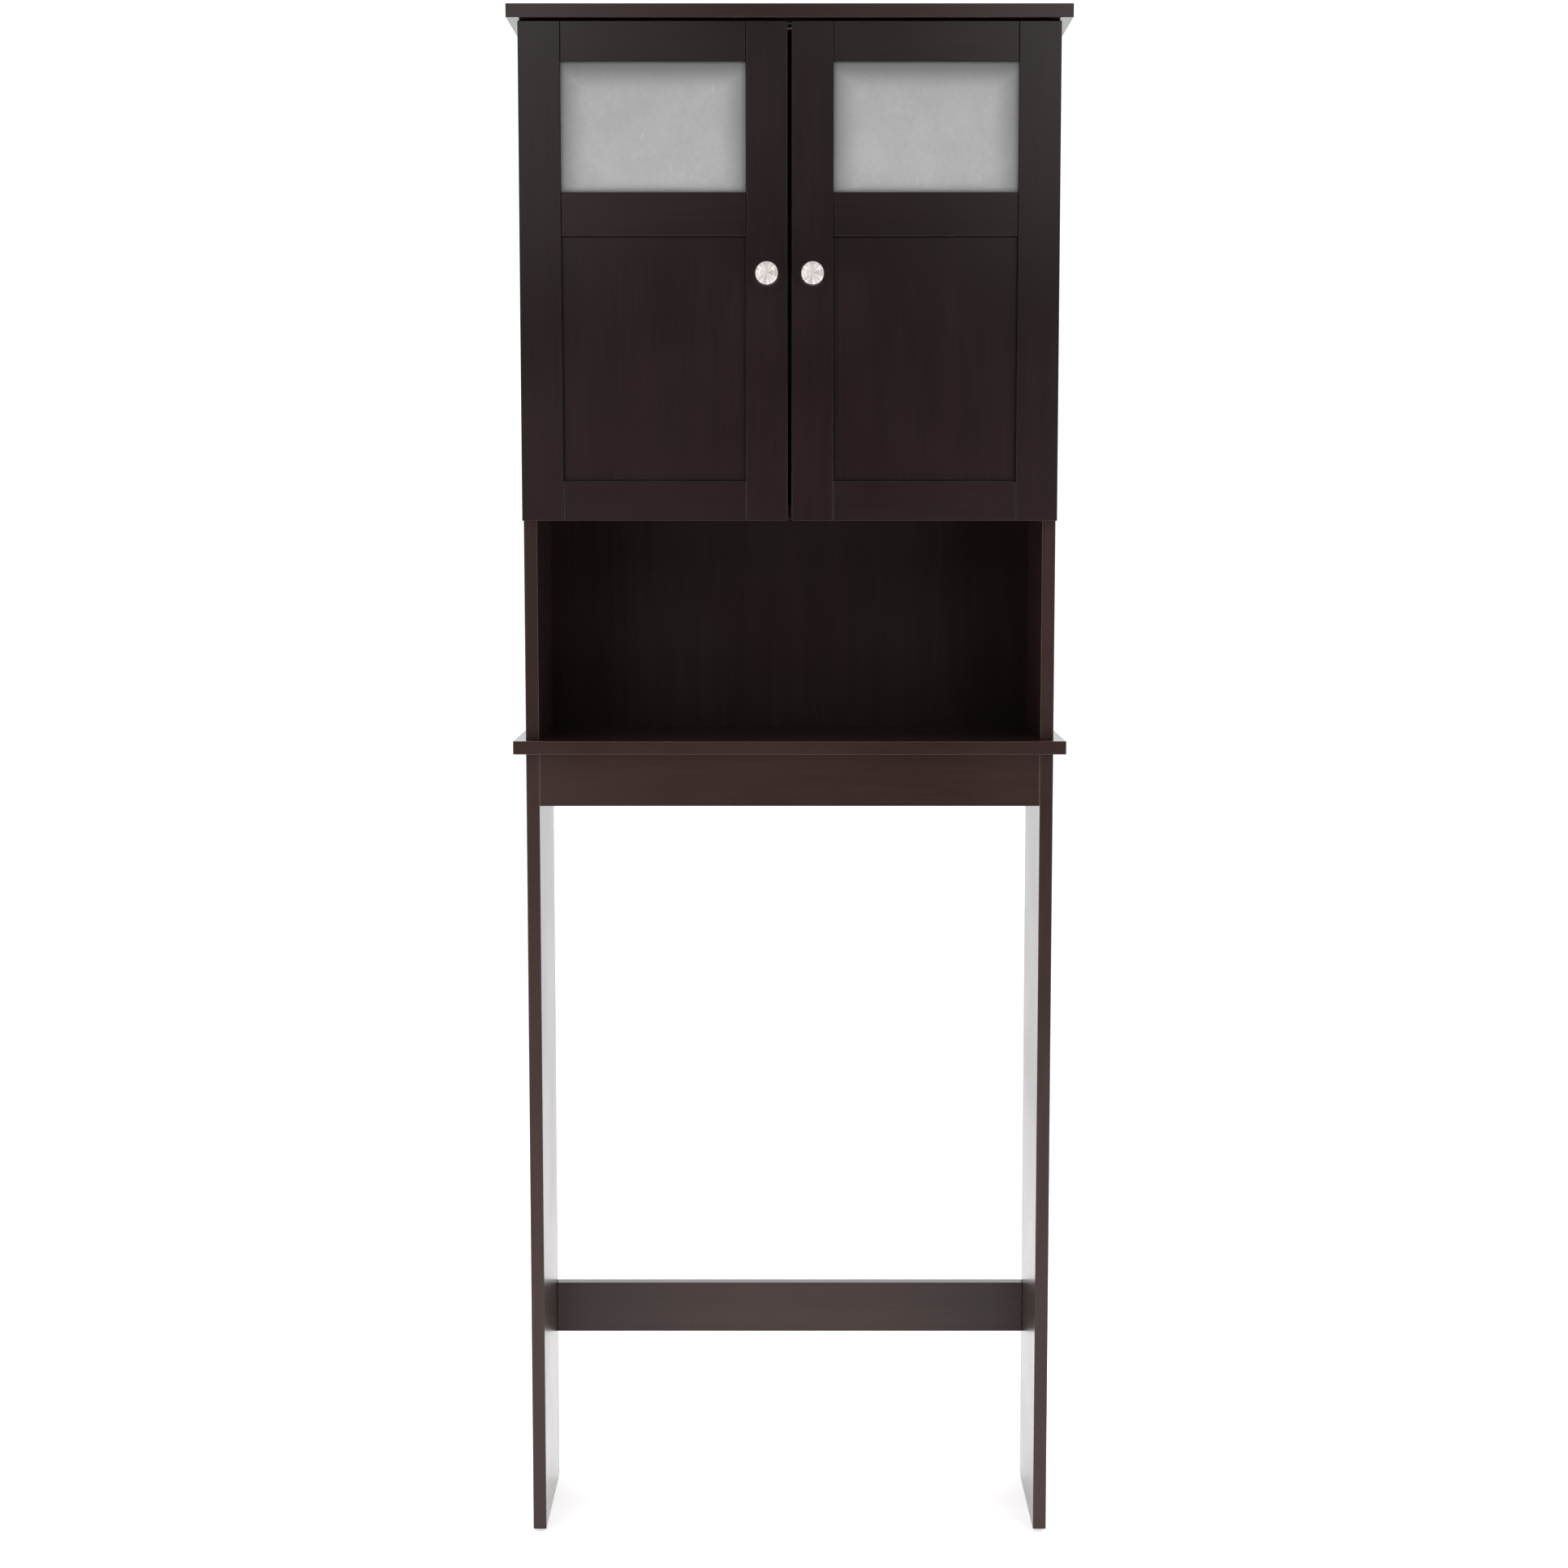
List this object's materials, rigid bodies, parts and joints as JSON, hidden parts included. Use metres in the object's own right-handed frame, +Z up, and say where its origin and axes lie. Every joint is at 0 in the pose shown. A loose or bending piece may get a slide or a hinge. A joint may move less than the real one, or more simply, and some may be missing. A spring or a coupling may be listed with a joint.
{
  "type": "over the toilet storage rack",
  "caption": "Dark wood bathroom cabinet with frosted glass doors and an open niche, raised on tall panel legs that straddle a toilet.",
  "frame": {"origin": "on the floor, at the middle of the outer box in X and Y", "axes": "+Z up, -Y towards the front where the doors and knobs are, +X to the right seen from the front"},
  "size_m": [0.616, 0.2234, 1.72],
  "materials": {
    "espresso_lacquer": "satin lacquer over fibreboard",
    "back_board": "satin foil over thin hardboard",
    "frosted_glass": "acid-frosted, matt",
    "satin_nickel": "turned and brushed satin nickel",
    "hinge_steel": "nickel-plated pressing",
    "zinc_screws": "bright zinc plate",
    "cast_zinc": "rough cast zinc",
    "plated_steel": "bright plate",
    "ferrite": "sintered ferrite",
    "catch_plastic": "moulded, fine texture",
    "dark_plastic": "moulded",
    "clear_rubber": "soft clear",
    "bare_beech": "unfinished"
  },
  "bodies": {
    "cabinet": {"back_panel": "back_board", "cabinet_floor": "espresso_lacquer", "cam_bolts": "zinc_screws", "cam_locks": "cast_zinc", "catch_housing": "catch_plastic", "catch_magnets": "ferrite", "catch_pole_plates": "plated_steel", "catch_screws": "zinc_screws", "dowels": "bare_beech", "front_apron": "espresso_lacquer", "hinge_plates": "hinge_steel", "hinge_screws": "zinc_screws", "leg_glides": "dark_plastic", "leg_panel_left": "espresso_lacquer", "leg_panel_right": "espresso_lacquer", "loose_shelf": "espresso_lacquer", "lower_left_hinge_arm": "hinge_steel", "lower_right_hinge_arm": "hinge_steel", "lower_stretcher": "espresso_lacquer", "panel_screws": "zinc_screws", "shelf_pins": "zinc_screws", "top_board": "espresso_lacquer", "upper_left_hinge_arm": "hinge_steel", "upper_right_hinge_arm": "hinge_steel", "upper_side_left": "espresso_lacquer", "upper_side_right": "espresso_lacquer", "wide_shelf": "espresso_lacquer"},
    "left_door": {"left_door_bottom_rail": "espresso_lacquer", "left_door_bumper": "clear_rubber", "left_door_glass": "frosted_glass", "left_door_glass_beads": "espresso_lacquer", "left_door_hinge_pins": "hinge_steel", "left_door_inner_stile": "espresso_lacquer", "left_door_knob": "satin_nickel", "left_door_knob_screw": "zinc_screws", "left_door_lower_hinge_cup": "hinge_steel", "left_door_middle_rail": "espresso_lacquer", "left_door_outer_stile": "espresso_lacquer", "left_door_small_screws": "zinc_screws", "left_door_strike_plate": "plated_steel", "left_door_top_rail": "espresso_lacquer", "left_door_upper_hinge_cup": "hinge_steel", "left_door_wood_panel": "espresso_lacquer"},
    "right_door": {"right_door_bottom_rail": "espresso_lacquer", "right_door_bumper": "clear_rubber", "right_door_glass": "frosted_glass", "right_door_glass_beads": "espresso_lacquer", "right_door_hinge_pins": "hinge_steel", "right_door_inner_stile": "espresso_lacquer", "right_door_knob": "satin_nickel", "right_door_knob_screw": "zinc_screws", "right_door_lower_hinge_cup": "hinge_steel", "right_door_middle_rail": "espresso_lacquer", "right_door_outer_stile": "espresso_lacquer", "right_door_small_screws": "zinc_screws", "right_door_strike_plate": "plated_steel", "right_door_top_rail": "espresso_lacquer", "right_door_upper_hinge_cup": "hinge_steel", "right_door_wood_panel": "espresso_lacquer"}
  },
  "joints": [
    {"name": "left_door_hinge", "type": "hinge", "parent": "cabinet", "child": "left_door", "pos_m": [-0.289, -0.07975, 1.43175], "axis": [0, 0, -1], "range_deg": [0, 95]},
    {"name": "right_door_hinge", "type": "hinge", "parent": "cabinet", "child": "right_door", "pos_m": [0.289, -0.07975, 1.43175], "axis": [0, 0, 1], "range_deg": [0, 95]}
  ]
}
